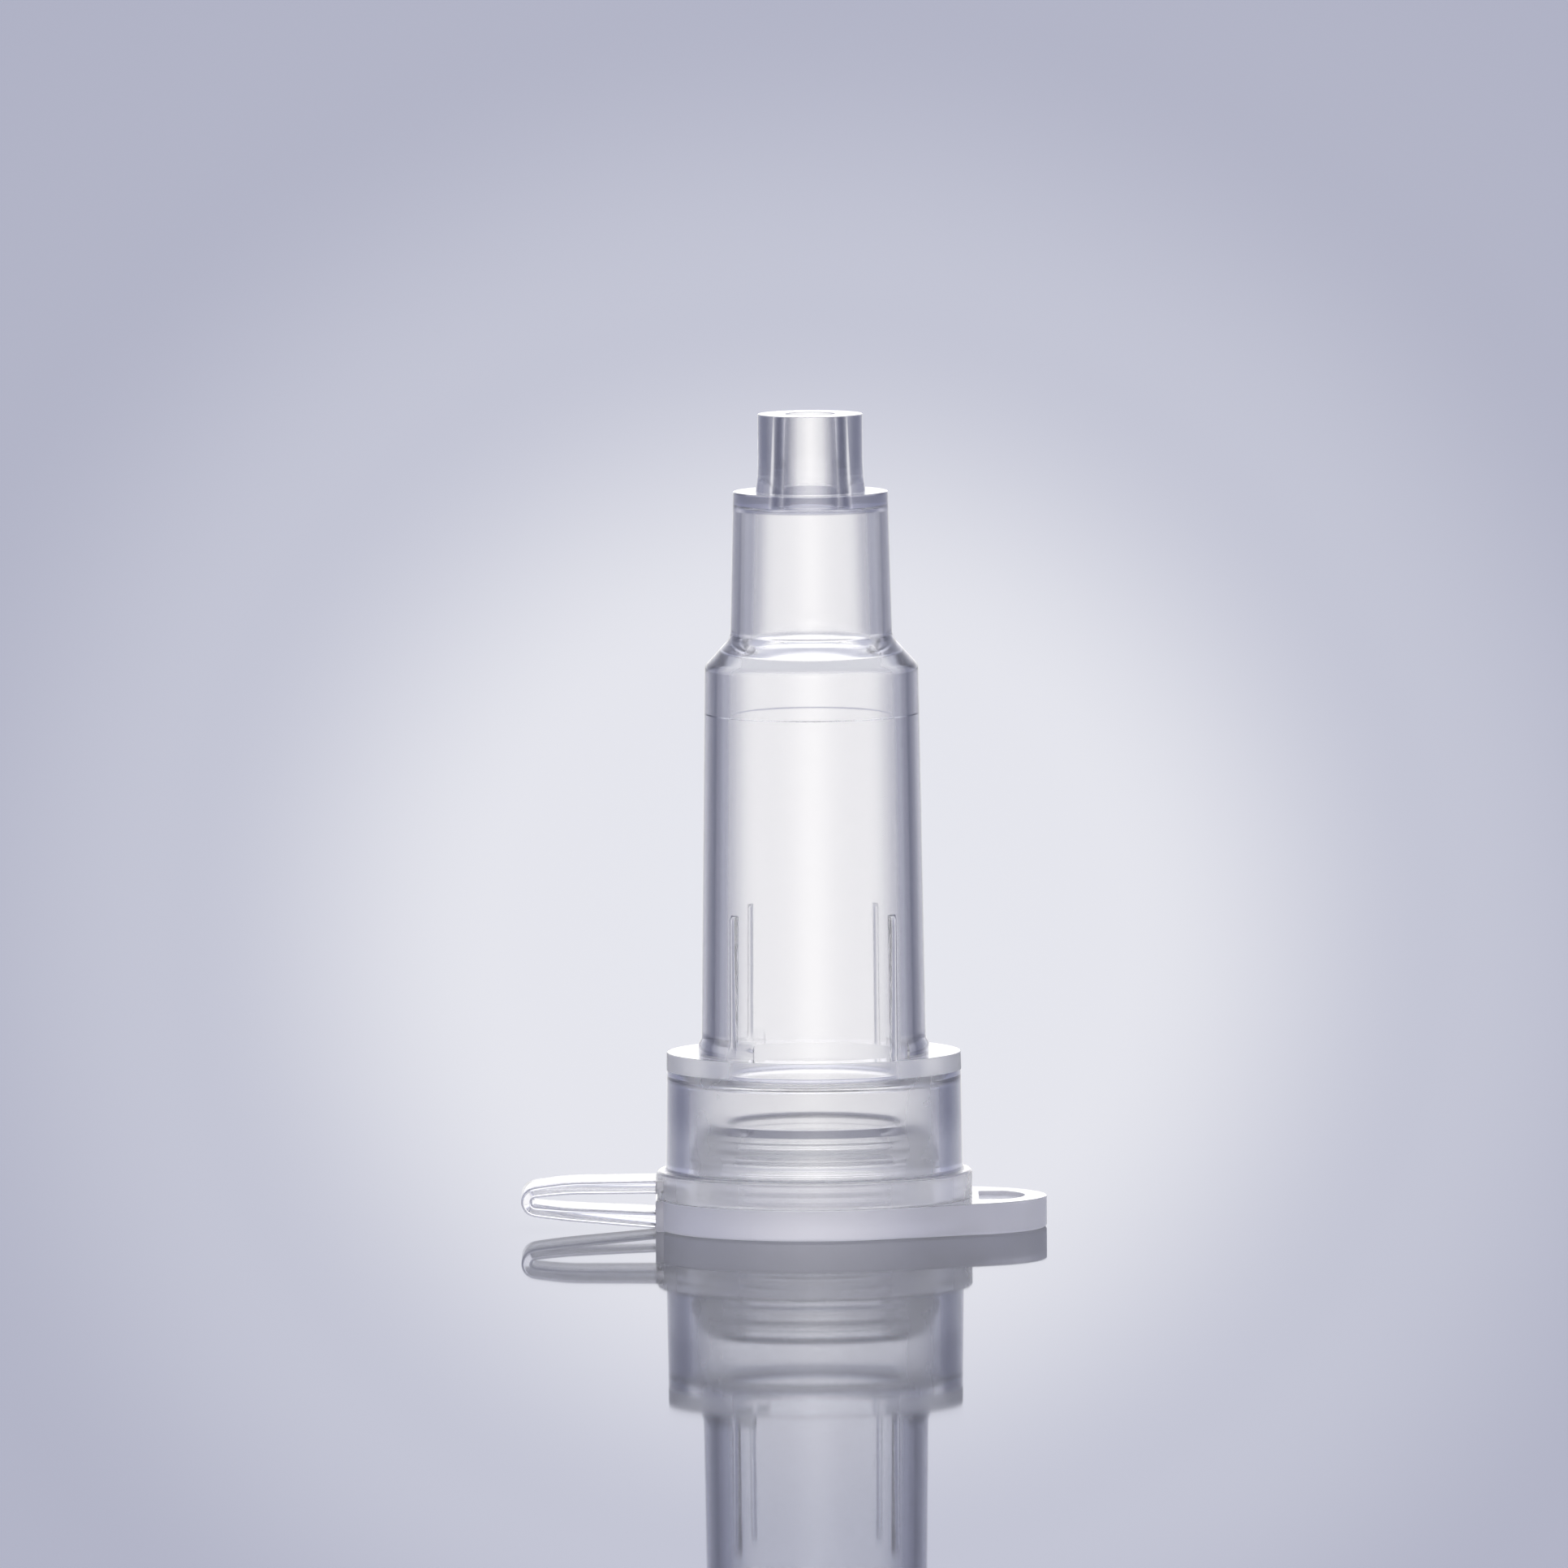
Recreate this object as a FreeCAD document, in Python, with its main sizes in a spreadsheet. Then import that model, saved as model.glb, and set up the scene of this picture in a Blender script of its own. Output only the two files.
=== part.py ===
import FreeCAD, Part
import math
import os

import Sketcher
from FreeCAD import Placement, Rotation, Vector

# Spin column for small-volume purification, a clear moulded tube with a snap lid on a living-hinge strap.
# It stands on its closed lid with the outlet nozzle up. Millimetres.
# Origin: on the column's axis, at the outer face of the lid. +Z runs up to the nozzle's tip, the strap is
# on the -X side and the thumb tab on the +X side.

SIZES = {
    # lid plate and thumb tab
    "lid_radius": 6.14,
    "lid_thickness": 1.22,
    "lid_edge_round": 0.12,
    "tab_reach": 9.05,            # axis to the tip of the tab
    "tab_end_radius": 3.85,
    "recess_rim": 0.85,           # rim left outside the thumb recess, at the tab's tip
    "recess_end_radius": 2.4,
    "recess_half_width": 1.75,
    "recess_start": 0.25,         # flange wall to the near end of the recess
    "recess_depth": 0.15,
    # hollow sealing plug on the lid
    "plug_height": 2.93,
    "plug_wall": 0.62,
    "plug_gap": 0.24,             # plug shank to chamber wall, each side
    "seal_gap": 0.05,             # sealing bead to chamber wall, each side
    "bead_level": 1.68,           # lid's inner face to the middle of the bead
    "bead_land": 0.3,
    "bead_ramp": 0.28,
    "nose_radius": 4.06,
    "nose_step_radius": 4.42,
    "nose_step_level": 2.44,      # lid's inner face to the step behind the nose
    "nose_step_height": 0.22,
    # mouth flange and collar of the tube
    "flange_radius": 6.14,
    "flange_thickness": 1.07,
    "collar_height": 4.61,        # flange to the collar's shoulder face
    "collar_base_radius": 5.8,
    "collar_top_radius": 5.73,
    "chamber_radius": 4.9,
    "lead_in": 0.18,              # how much wider the mouth is than the chamber
    "lead_in_height": 1.28,
    "web_thickness": 1.0,         # solid between chamber and collar's shoulder face
    # body
    "body_length": 15.1,
    "body_base_radius": 4.39,
    "body_tip_radius": 4.17,
    "body_wall": 0.96,
    "seat_step": 0.1,             # step in the bore for the filter disc
    "seat_bevel": 0.1,            # height of the step's sloped face
    "seat_depth": 1.92,           # step to the outer corner of the shoulder
    # shoulder, neck and nozzle
    "shoulder_height": 1.1,
    "shoulder_rise": 0.4,         # inner cone's start above the outer corner
    "cone_rise": 0.2,             # inner cone's end above the outer cone's end
    "neck_length": 5.69,
    "neck_base_radius": 3.16,
    "neck_top_radius": 3.02,
    "neck_wall": 0.87,
    "roof_thickness": 0.58,
    "nozzle_length": 3.02,
    "nozzle_radius": 2.05,
    "nozzle_foot_flare": 0.09,
    "nozzle_foot_height": 0.85,
    "outlet_base_radius": 1.09,
    "outlet_tip_radius": 0.97,
    # chamfers and rounds of the tube
    "flange_chamfer": 0.12,
    "collar_foot_chamfer": 0.12,
    "shoulder_round": 0.5,
    "neck_round": 0.15,
    "chamber_round": 0.3,
    "roof_chamfer": 0.15,
    # grip ribs and foot lugs on the body
    "rib_length": 5.56,
    "rib_width": 0.4,
    "rib_proud": 0.1,
    "rib_angle": 45.0,
    "rib_count": 4,
    "lug_height": 0.55,
    "lug_land": 0.35,
    "lug_proud": 0.1,
    "strap_side_lug_span": 116.0,
    "tab_side_lug_span": 68.0,
    # folded hinge strap
    "strap_width": 3.6,
    "strap_seat": 0.06,           # how far the strap's seat stands proud of the lid and the flange
    "strap_seat_depth": 0.7,
    "strap_reach": 11.46,         # axis to the outside of the fold
    "fold_level": 1.2,
    "fold_radius": 0.6,           # outside of the fold
    "fold_thickness": 0.43,
    "upper_leg_root": 1.75,       # middle of the upper leg where it leaves the flange
    "lower_leg_root": 0.45,       # middle of the lower leg where it leaves the lid
    "upper_leg_thickness": 0.5,
    "lower_leg_thickness": 0.62,
    "knee_reach": 9.6,            # axis to where the legs start to bend towards the fold
    "knee_height": 0.76,          # fold level to the outside of each leg at the knee
    "knee_gap": 0.29,             # fold level to the inside of each leg at the knee
}

DOCUMENT = FreeCAD.newDocument("SpinColumn")
SHEET = DOCUMENT.addObject("Spreadsheet::Sheet", "Sizes")
for row, (alias, number) in enumerate(SIZES.items(), start=1):
    SHEET.set(f"A{row}", alias)
    SHEET.set(f"B{row}", str(number))
    SHEET.setAlias(f"B{row}", alias)
DOCUMENT.recompute()

# Sketcher's own numbers for the origin point, the two axes and the ends of a curve.
V_AXIS, H_AXIS = range(-2, 0)
ORIGIN = H_AXIS
START, END, CENTRE = range(1, 4)
NEAR = 1e-4


class Size:
    """A length that carries its number and the sheet expression that gives it."""

    def __init__(self, number, text):
        self.number = number
        self.text = text

    def __add__(self, other):
        return Size(self.number + other.number, f"({self.text} + {other.text})")

    def __sub__(self, other):
        return Size(self.number - other.number, f"({self.text} - {other.text})")

    def __neg__(self):
        return Size(-self.number, f"(-1 * {self.text})")

    def half(self):
        return Size(self.number / 2, f"({self.text} / 2)")


def size(alias):
    return Size(float(getattr(SHEET, alias)), f"Sizes.{alias}")


ZERO = Size(0.0, "0")

# Levels up the axis, each from the one below it.
MOUTH = size("lid_thickness")
FLANGE_TOP = MOUTH + size("flange_thickness")
COLLAR_TOP = FLANGE_TOP + size("collar_height")
CEILING = COLLAR_TOP - size("web_thickness")
BODY_TOP = COLLAR_TOP + size("body_length")
SHOULDER_TOP = BODY_TOP + size("shoulder_height")
ROOF = SHOULDER_TOP + size("neck_length")
ROOF_UNDERSIDE = ROOF - size("roof_thickness")
TIP = ROOF + size("nozzle_length")
SEAT = BODY_TOP - size("seat_depth")

# Radii that follow from the walls and the fits.
DISC_RADIUS = size("body_tip_radius") - size("body_wall")
LID_SEAT_FACE = size("lid_radius") + size("strap_seat")
FLANGE_SEAT_FACE = size("flange_radius") + size("strap_seat")
PLUG_RADIUS = size("chamber_radius") - size("plug_gap")
BEAD_RADIUS = size("chamber_radius") - size("seal_gap")


def new_body(label):
    body = DOCUMENT.addObject("PartDesign::Body", label)
    body.Label = label
    return body


def origin_feature(body, role):
    return next(f for f in body.Origin.OriginFeatures if f.Role == role)


def new_sketch(body, name, role, lift=None, turn=None):
    """A sketch on one of the body's own origin planes, lifted and turned by values of the sheet."""
    sketch = body.newObject("Sketcher::SketchObject", name)
    sketch.AttachmentSupport = [(origin_feature(body, role), "")]
    sketch.MapMode = "FlatFace"
    height = lift.number if lift else 0.0
    angle = turn.number if turn else 0.0
    sketch.AttachmentOffset = Placement(Vector(0, 0, height), Rotation(Vector(0, 0, 1), angle))
    if lift:
        sketch.setExpression("AttachmentOffset.Base.z", lift.text)
    if turn:
        sketch.setExpression("AttachmentOffset.Rotation.Angle", turn.text)
    return sketch


def bind(sketch, constraint, length):
    """Adds a dimension and ties it to the sheet."""
    index = sketch.addConstraint(constraint)
    sketch.setExpression(f"Constraints[{index}]", length.text)


def fix_point(sketch, curve, end, across, up):
    """Holds a point at a place across and up from the sketch's origin."""
    for kind, axis, length in (("DistanceX", V_AXIS, across), ("DistanceY", H_AXIS, up)):
        if length is ZERO:
            sketch.addConstraint(Sketcher.Constraint("PointOnObject", curve, end, axis))
        else:
            dimension = Sketcher.Constraint(kind, ORIGIN, START, curve, end, length.number)
            bind(sketch, dimension, length)


def outline(sketch, corners):
    """A closed outline of straight lines through corners that the sheet places."""
    places = [Vector(across.number, up.number, 0) for across, up in corners]
    pairs = zip(places, places[1:] + places[:1])
    lines = sketch.addGeometry([Part.LineSegment(a, b) for a, b in pairs])
    for index, (across, up) in enumerate(corners):
        sketch.addConstraint(Sketcher.Constraint("Coincident", lines[index - 1], END, lines[index], START))
        fix_point(sketch, lines[index], START, across, up)
    return lines


def revolve(body, name, sketch, span=None):
    """Turns a half section about the column's axis, all the way or by a span centred on the sketch."""
    turned = body.newObject("PartDesign::Revolution", name)
    turned.Profile = sketch
    turned.ReferenceAxis = (sketch, ["V_Axis"])
    turned.Angle = 360.0
    if span:
        turned.Midplane = True
        turned.Angle = span.number
        turned.setExpression("Angle", span.text)
    return turned


def pad(body, name, sketch, length, midplane=False):
    solid = body.newObject("PartDesign::Pad", name)
    solid.Profile = sketch
    solid.Length = length.number
    solid.setExpression("Length", length.text)
    solid.Midplane = midplane
    return solid


def ring_edges(shape, radius, level):
    """Names of the round edges about the axis that have this radius at this level."""
    names = []
    for number, edge in enumerate(shape.Edges, start=1):
        curve = edge.Curve
        if not isinstance(curve, Part.Circle):
            continue
        if abs(curve.Radius - radius.number) < NEAR and abs(curve.Center.z - level.number) < NEAR:
            names.append(f"Edge{number}")
    return names


def flat_edges(shape, level):
    """Names of the edges that lie flat at this level."""
    names = []
    for number, edge in enumerate(shape.Edges, start=1):
        box = edge.BoundBox
        if abs(box.ZMin - level.number) < NEAR and abs(box.ZMax - level.number) < NEAR:
            names.append(f"Edge{number}")
    return names


def dress(body, name, kind, measure, edges_of, length):
    """Rounds or chamfers the edges that edges_of finds on the body as it stands."""
    DOCUMENT.recompute()
    base = body.Tip
    dressed = body.newObject(f"PartDesign::{kind}", name)
    dressed.Base = (base, edges_of(base.Shape))
    setattr(dressed, measure, length.number)
    dressed.setExpression(measure, length.text)


def round_ring(body, name, length, radius, level):
    dress(body, name, "Fillet", "Radius", lambda shape: ring_edges(shape, radius, level), length)


def chamfer_ring(body, name, length, radius, level):
    dress(body, name, "Chamfer", "Size", lambda shape: ring_edges(shape, radius, level), length)


def tube_section(sketch):
    """Half section of the tube, up the outside and down the inside."""
    disc_bore = DISC_RADIUS + size("seat_step")
    outlet_base = size("outlet_base_radius")
    outline(sketch, [
        (size("flange_radius"), MOUTH),
        (size("flange_radius"), FLANGE_TOP),
        (size("collar_base_radius"), FLANGE_TOP),
        (size("collar_top_radius"), COLLAR_TOP),
        (size("body_base_radius"), COLLAR_TOP),
        (size("body_tip_radius"), BODY_TOP),
        (size("neck_base_radius"), SHOULDER_TOP),
        (size("neck_top_radius"), ROOF),
        (size("nozzle_radius") + size("nozzle_foot_flare"), ROOF),
        (size("nozzle_radius"), ROOF + size("nozzle_foot_height")),
        (size("nozzle_radius"), TIP),
        (size("outlet_tip_radius"), TIP),
        (outlet_base, ROOF_UNDERSIDE),
        (size("neck_top_radius") - size("neck_wall"), ROOF_UNDERSIDE),
        (size("neck_base_radius") - size("neck_wall"), SHOULDER_TOP + size("cone_rise")),
        (DISC_RADIUS, BODY_TOP + size("shoulder_rise")),
        (DISC_RADIUS, SEAT),
        (disc_bore, SEAT - size("seat_bevel")),
        (size("body_base_radius") - size("body_wall"), CEILING),
        (size("chamber_radius"), CEILING),
        (size("chamber_radius"), MOUTH + size("lead_in_height")),
        (size("chamber_radius") + size("lead_in"), MOUTH),
    ])


def add_grip_ribs(body):
    """Fine upright ribs round the foot of the body, which hold it steady in a collection tube."""
    inside = size("body_base_radius") - size("body_wall").half()
    outside = size("body_base_radius") + size("rib_proud")
    half_width = size("rib_width").half()
    sketch = new_sketch(body, "RibSketch", "XY_Plane", lift=COLLAR_TOP, turn=size("rib_angle"))
    outline(sketch, [
        (inside, -half_width),
        (outside, -half_width),
        (outside, half_width),
        (inside, half_width),
    ])
    rib = pad(body, "Rib", sketch, size("rib_length"))
    pattern = body.newObject("PartDesign::PolarPattern", "Ribs")
    pattern.Originals = [rib]
    pattern.Axis = (origin_feature(body, "Z_Axis"), [""])
    pattern.Angle = 360.0
    pattern.Occurrences = int(SIZES["rib_count"])
    pattern.setExpression("Occurrences", "Sizes.rib_count")
    body.Tip = pattern


def add_foot_lug(body, name, side, span):
    """A low lug round part of the body's foot. Side is 1 towards the tab and -1 towards the strap."""
    inside = size("body_base_radius") - size("body_wall").half()
    outside = size("body_base_radius") + size("lug_proud")
    corners = [
        (inside, COLLAR_TOP),
        (outside, COLLAR_TOP),
        (outside, COLLAR_TOP + size("lug_land")),
        (inside, COLLAR_TOP + size("lug_height")),
    ]
    sketch = new_sketch(body, f"{name}Sketch", "XZ_Plane")
    outline(sketch, [(across if side > 0 else -across, up) for across, up in corners])
    revolve(body, name, sketch, span)


def add_strap_seat(body, name, face, low, height):
    """A square-faced lug on the -X side, as wide as the strap, for the strap's end to sit on."""
    half_width = size("strap_width").half()
    inside = face - size("strap_seat_depth")
    sketch = new_sketch(body, f"{name}Sketch", "XY_Plane", lift=low)
    outline(sketch, [
        (-face, -half_width),
        (-inside, -half_width),
        (-inside, half_width),
        (-face, half_width),
    ])
    return pad(body, name, sketch, height)


def make_column_tube():
    body = new_body("column_tube")
    section = new_sketch(body, "TubeSection", "XZ_Plane")
    tube_section(section)
    revolve(body, "Tube", section)
    chamfer_ring(body, "FlangeChamfer", size("flange_chamfer"), size("flange_radius"), FLANGE_TOP)
    chamfer_ring(body, "CollarFoot", size("collar_foot_chamfer"), size("collar_base_radius"), FLANGE_TOP)
    round_ring(body, "ShoulderRound", size("shoulder_round"), size("body_tip_radius"), BODY_TOP)
    round_ring(body, "NeckRound", size("neck_round"), size("neck_base_radius"), SHOULDER_TOP)
    round_ring(body, "ChamberRound", size("chamber_round"), size("chamber_radius"), CEILING)
    neck_bore = size("neck_top_radius") - size("neck_wall")
    chamfer_ring(body, "RoofChamfer", size("roof_chamfer"), neck_bore, ROOF_UNDERSIDE)
    add_grip_ribs(body)
    add_foot_lug(body, "StrapSideLug", -1, size("strap_side_lug_span"))
    add_foot_lug(body, "TabSideLug", 1, size("tab_side_lug_span"))
    leg = size("upper_leg_thickness")
    add_strap_seat(body, "StrapSeat", FLANGE_SEAT_FACE, size("upper_leg_root") - leg.half(), leg)
    return body


def lid_outline(sketch):
    """Round plate with the tab's rounded end, joined by lines that run off both tangentially."""
    plate_radius = size("lid_radius")
    end_radius = size("tab_end_radius")
    end_centre = size("tab_reach") - end_radius
    lean = math.acos((plate_radius.number - end_radius.number) / end_centre.number)
    along = Vector(math.cos(lean), math.sin(lean), 0)
    tip_centre = Vector(end_centre.number, 0, 0)
    plate_side = along * plate_radius.number
    tip_side = tip_centre + along * end_radius.number
    mirrored = [Vector(p.x, -p.y, 0) for p in (plate_side, tip_side)]
    up = Vector(0, 0, 1)
    plate_circle = Part.Circle(Vector(0, 0, 0), up, plate_radius.number)
    tip_circle = Part.Circle(tip_centre, up, end_radius.number)
    plate, near_line, tip, far_line = sketch.addGeometry([
        Part.ArcOfCircle(plate_circle, lean, 2 * math.pi - lean),
        Part.LineSegment(mirrored[0], mirrored[1]),
        Part.ArcOfCircle(tip_circle, -lean, lean),
        Part.LineSegment(tip_side, plate_side),
    ])
    sketch.addConstraint(Sketcher.Constraint("Coincident", plate, CENTRE, ORIGIN, START))
    sketch.addConstraint(Sketcher.Constraint("PointOnObject", tip, CENTRE, H_AXIS))
    bind(sketch, Sketcher.Constraint("DistanceX", ORIGIN, START, tip, CENTRE, end_centre.number), end_centre)
    bind(sketch, Sketcher.Constraint("Radius", plate, plate_radius.number), plate_radius)
    bind(sketch, Sketcher.Constraint("Radius", tip, end_radius.number), end_radius)
    for first, first_end, second, second_end in (
        (plate, END, near_line, START),
        (near_line, END, tip, START),
        (tip, END, far_line, START),
        (far_line, END, plate, START),
    ):
        sketch.addConstraint(Sketcher.Constraint("Tangent", first, first_end, second, second_end))


def recess_outline(sketch):
    """Thumb recess in the tab: straight sides from the flange out to a bowed end."""
    half_width = size("recess_half_width")
    near = size("flange_radius") + size("recess_start")
    bow = size("recess_end_radius")
    bow_centre = size("tab_reach") - size("recess_rim") - bow
    side = math.asin(half_width.number / bow.number)
    corner_x = bow_centre.number + bow.number * math.cos(side)
    bow_circle = Part.Circle(Vector(bow_centre.number, 0, 0), Vector(0, 0, 1), bow.number)
    low = -half_width.number
    inner, lower, end, upper = sketch.addGeometry([
        Part.LineSegment(Vector(near.number, -low, 0), Vector(near.number, low, 0)),
        Part.LineSegment(Vector(near.number, low, 0), Vector(corner_x, low, 0)),
        Part.ArcOfCircle(bow_circle, -side, side),
        Part.LineSegment(Vector(corner_x, -low, 0), Vector(near.number, -low, 0)),
    ])
    for first, second in ((inner, lower), (lower, end), (end, upper), (upper, inner)):
        sketch.addConstraint(Sketcher.Constraint("Coincident", first, END, second, START))
    sketch.addConstraint(Sketcher.Constraint("Horizontal", lower))
    sketch.addConstraint(Sketcher.Constraint("Horizontal", upper))
    sketch.addConstraint(Sketcher.Constraint("PointOnObject", end, CENTRE, H_AXIS))
    bind(sketch, Sketcher.Constraint("DistanceX", ORIGIN, START, end, CENTRE, bow_centre.number), bow_centre)
    bind(sketch, Sketcher.Constraint("Radius", end, bow.number), bow)
    fix_point(sketch, inner, START, near, half_width)
    fix_point(sketch, inner, END, near, -half_width)


def plug_section(sketch):
    """Half section of the plug: shank, sealing bead, a small step, and the nose that leads it in."""
    root = MOUTH - size("recess_depth")
    bead_low = MOUTH + size("bead_level") - size("bead_land").half()
    bead_high = bead_low + size("bead_land")
    step = MOUTH + size("nose_step_level")
    top = MOUTH + size("plug_height")
    hollow = size("nose_radius") - size("plug_wall")
    outline(sketch, [
        (hollow, root),
        (PLUG_RADIUS, root),
        (PLUG_RADIUS, bead_low - size("bead_ramp")),
        (BEAD_RADIUS, bead_low),
        (BEAD_RADIUS, bead_high),
        (PLUG_RADIUS, bead_high + size("bead_ramp")),
        (size("nose_step_radius") + size("bead_land").half(), step),
        (size("nose_step_radius"), step),
        (size("nose_step_radius"), step + size("nose_step_height")),
        (size("nose_radius"), top),
        (hollow, top),
    ])


def make_snap_lid():
    body = new_body("snap_lid")
    sketch = new_sketch(body, "PlateSketch", "XY_Plane")
    lid_outline(sketch)
    pad(body, "Plate", sketch, MOUTH)
    add_strap_seat(body, "StrapSeat", LID_SEAT_FACE, ZERO, MOUTH)
    dress(body, "OuterFaceRound", "Fillet", "Radius", lambda shape: flat_edges(shape, ZERO),
          size("lid_edge_round"))
    section = new_sketch(body, "PlugSection", "XZ_Plane")
    plug_section(section)
    revolve(body, "Plug", section)
    DOCUMENT.recompute()
    before = body.Shape.Volume
    recess = new_sketch(body, "RecessSketch", "XY_Plane", lift=MOUTH)
    recess_outline(recess)
    pocket = body.newObject("PartDesign::Pocket", "ThumbRecess")
    pocket.Profile = recess
    pocket.Length = size("recess_depth").number
    pocket.setExpression("Length", size("recess_depth").text)
    DOCUMENT.recompute()
    if pocket.Shape.Volume >= before:
        raise RuntimeError("the thumb recess cut nothing")
    return body


def tangent_point(place, centre, radius, side):
    """Where a line from place touches a circle, on its upper side (1) or its lower side (-1)."""
    reach = centre - place
    turn = math.acos(radius / reach.Length)
    back = math.atan2(-reach.y, -reach.x)
    angle = back + side * turn
    return centre + Vector(math.cos(angle), math.sin(angle), 0) * radius


def strap_outline(sketch):
    """Side view of the folded strap: one face runs round the outside of the loop, one round the inside."""
    level = size("fold_level")
    upper, lower = size("upper_leg_root"), size("lower_leg_root")
    upper_half = size("upper_leg_thickness").half()
    lower_half = size("lower_leg_thickness").half()
    knee = -size("knee_reach")
    centre = -(size("strap_reach") - size("fold_radius"))
    middle = Vector(centre.number, level.number, 0)
    outer_radius = size("fold_radius")
    inner_radius = outer_radius - size("fold_thickness")
    faces = [
        (outer_radius, upper + upper_half, level + size("knee_height"),
         level - size("knee_height"), lower - lower_half),
        (inner_radius, upper - upper_half, level + size("knee_gap"),
         level - size("knee_gap"), lower + lower_half),
    ]
    ends = []
    for radius, top_root, top_knee, low_knee, low_root in faces:
        places = [
            Vector(-FLANGE_SEAT_FACE.number, top_root.number, 0),
            Vector(knee.number, top_knee.number, 0),
            Vector(knee.number, low_knee.number, 0),
            Vector(-LID_SEAT_FACE.number, low_root.number, 0),
        ]
        top_touch = tangent_point(places[1], middle, radius.number, 1)
        low_touch = tangent_point(places[2], middle, radius.number, -1)
        circle = Part.Circle(middle, Vector(0, 0, 1), radius.number)
        start = math.atan2(top_touch.y - middle.y, top_touch.x - middle.x)
        stop = math.atan2(low_touch.y - middle.y, low_touch.x - middle.x)
        top_leg, top_bend, fold, low_bend, low_leg = sketch.addGeometry([
            Part.LineSegment(places[0], places[1]),
            Part.LineSegment(places[1], top_touch),
            Part.ArcOfCircle(circle, start, stop + 2 * math.pi),
            Part.LineSegment(low_touch, places[2]),
            Part.LineSegment(places[2], places[3]),
        ])
        sketch.addConstraint(Sketcher.Constraint("Coincident", top_leg, END, top_bend, START))
        sketch.addConstraint(Sketcher.Constraint("Tangent", top_bend, END, fold, START))
        sketch.addConstraint(Sketcher.Constraint("Tangent", fold, END, low_bend, START))
        sketch.addConstraint(Sketcher.Constraint("Coincident", low_bend, END, low_leg, START))
        bind(sketch, Sketcher.Constraint("Radius", fold, radius.number), radius)
        fix_point(sketch, fold, CENTRE, centre, level)
        fix_point(sketch, top_leg, START, -FLANGE_SEAT_FACE, top_root)
        fix_point(sketch, top_leg, END, knee, top_knee)
        fix_point(sketch, low_leg, START, knee, low_knee)
        fix_point(sketch, low_leg, END, -LID_SEAT_FACE, low_root)
        ends.append((top_leg, places[0], low_leg, places[3]))
    (outer_top, outer_start, outer_low, outer_stop), (inner_top, inner_start, inner_low, inner_stop) = ends
    top_end, low_end = sketch.addGeometry([
        Part.LineSegment(outer_start, inner_start),
        Part.LineSegment(outer_stop, inner_stop),
    ])
    for line, line_end, leg, leg_end in (
        (top_end, START, outer_top, START),
        (top_end, END, inner_top, START),
        (low_end, START, outer_low, END),
        (low_end, END, inner_low, END),
    ):
        sketch.addConstraint(Sketcher.Constraint("Coincident", line, line_end, leg, leg_end))


def make_hinge_strap():
    body = new_body("hinge_strap")
    sketch = new_sketch(body, "LoopSketch", "XZ_Plane")
    strap_outline(sketch)
    pad(body, "Loop", sketch, size("strap_width"), midplane=True)
    return body


def check_document():
    """Every object has to have computed, and every sub-part has to be a sound solid."""
    for item in DOCUMENT.Objects:
        if "Invalid" in item.State or "Error" in item.State:
            raise RuntimeError(f"{item.Name} failed: {item.State}")
        if hasattr(item, "Shape") and item.TypeId.startswith("PartDesign::"):
            if item.Shape.isNull() or not item.Shape.isValid():
                raise RuntimeError(f"{item.Name} has no sound shape")


def main():
    sub_parts = [make_column_tube(), make_snap_lid(), make_hinge_strap()]
    DOCUMENT.recompute()
    check_document()
    os.makedirs("parts", exist_ok=True)
    for body in sub_parts:
        shape = body.Shape
        if len(shape.Solids) != 1:
            raise RuntimeError(f"{body.Label} has {len(shape.Solids)} solids")
        shape.exportStep(f"parts/{body.Label}.step")
        box = shape.BoundBox
        print(f"{body.Label}: {shape.Volume:.2f} mm3, X {box.XMin:.2f} to {box.XMax:.2f}, "
              f"Y {box.YMin:.2f} to {box.YMax:.2f}, Z {box.ZMin:.2f} to {box.ZMax:.2f}")


main()
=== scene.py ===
import math

import bpy
import bmesh
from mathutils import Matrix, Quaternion, Vector


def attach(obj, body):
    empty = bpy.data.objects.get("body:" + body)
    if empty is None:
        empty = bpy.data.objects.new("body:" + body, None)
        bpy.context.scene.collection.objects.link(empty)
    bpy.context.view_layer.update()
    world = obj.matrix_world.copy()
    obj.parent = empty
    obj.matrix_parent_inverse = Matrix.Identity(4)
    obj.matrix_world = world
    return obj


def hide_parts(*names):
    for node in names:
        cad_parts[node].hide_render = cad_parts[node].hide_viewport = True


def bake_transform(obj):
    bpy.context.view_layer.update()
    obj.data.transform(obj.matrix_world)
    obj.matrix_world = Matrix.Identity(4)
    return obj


# A clear spin column on its closed snap lid. Shapes below are in millimetres and become metres in the mesh.
MM = 0.001

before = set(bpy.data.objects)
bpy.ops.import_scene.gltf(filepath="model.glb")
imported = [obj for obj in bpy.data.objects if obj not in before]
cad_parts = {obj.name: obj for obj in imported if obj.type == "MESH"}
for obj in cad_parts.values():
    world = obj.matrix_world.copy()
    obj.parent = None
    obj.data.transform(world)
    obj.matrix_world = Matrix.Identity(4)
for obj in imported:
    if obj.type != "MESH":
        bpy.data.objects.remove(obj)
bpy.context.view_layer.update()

# Sizes, as in the CAD source apart from small roundings, the plug's fine ridges and the cone in the shoulder
LID_RADIUS = 6.14
LID_TOP = 1.22
LID_EDGE = 0.12
TAB_REACH = 9.05
TAB_END_RADIUS = 3.85
RECESS_NEAR = 6.39
RECESS_FAR = 8.2
RECESS_BOW = 2.4
RECESS_HALF = 1.75
RECESS_FLOOR = 1.07
FLANGE_RADIUS = 6.14
FLANGE_TOP = 2.29
FLANGE_BEVEL = 0.12
COLLAR_FOOT_RADIUS = 5.8
COLLAR_HEAD_RADIUS = 5.73
COLLAR_TOP = 6.9
CEILING = 5.9
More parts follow.
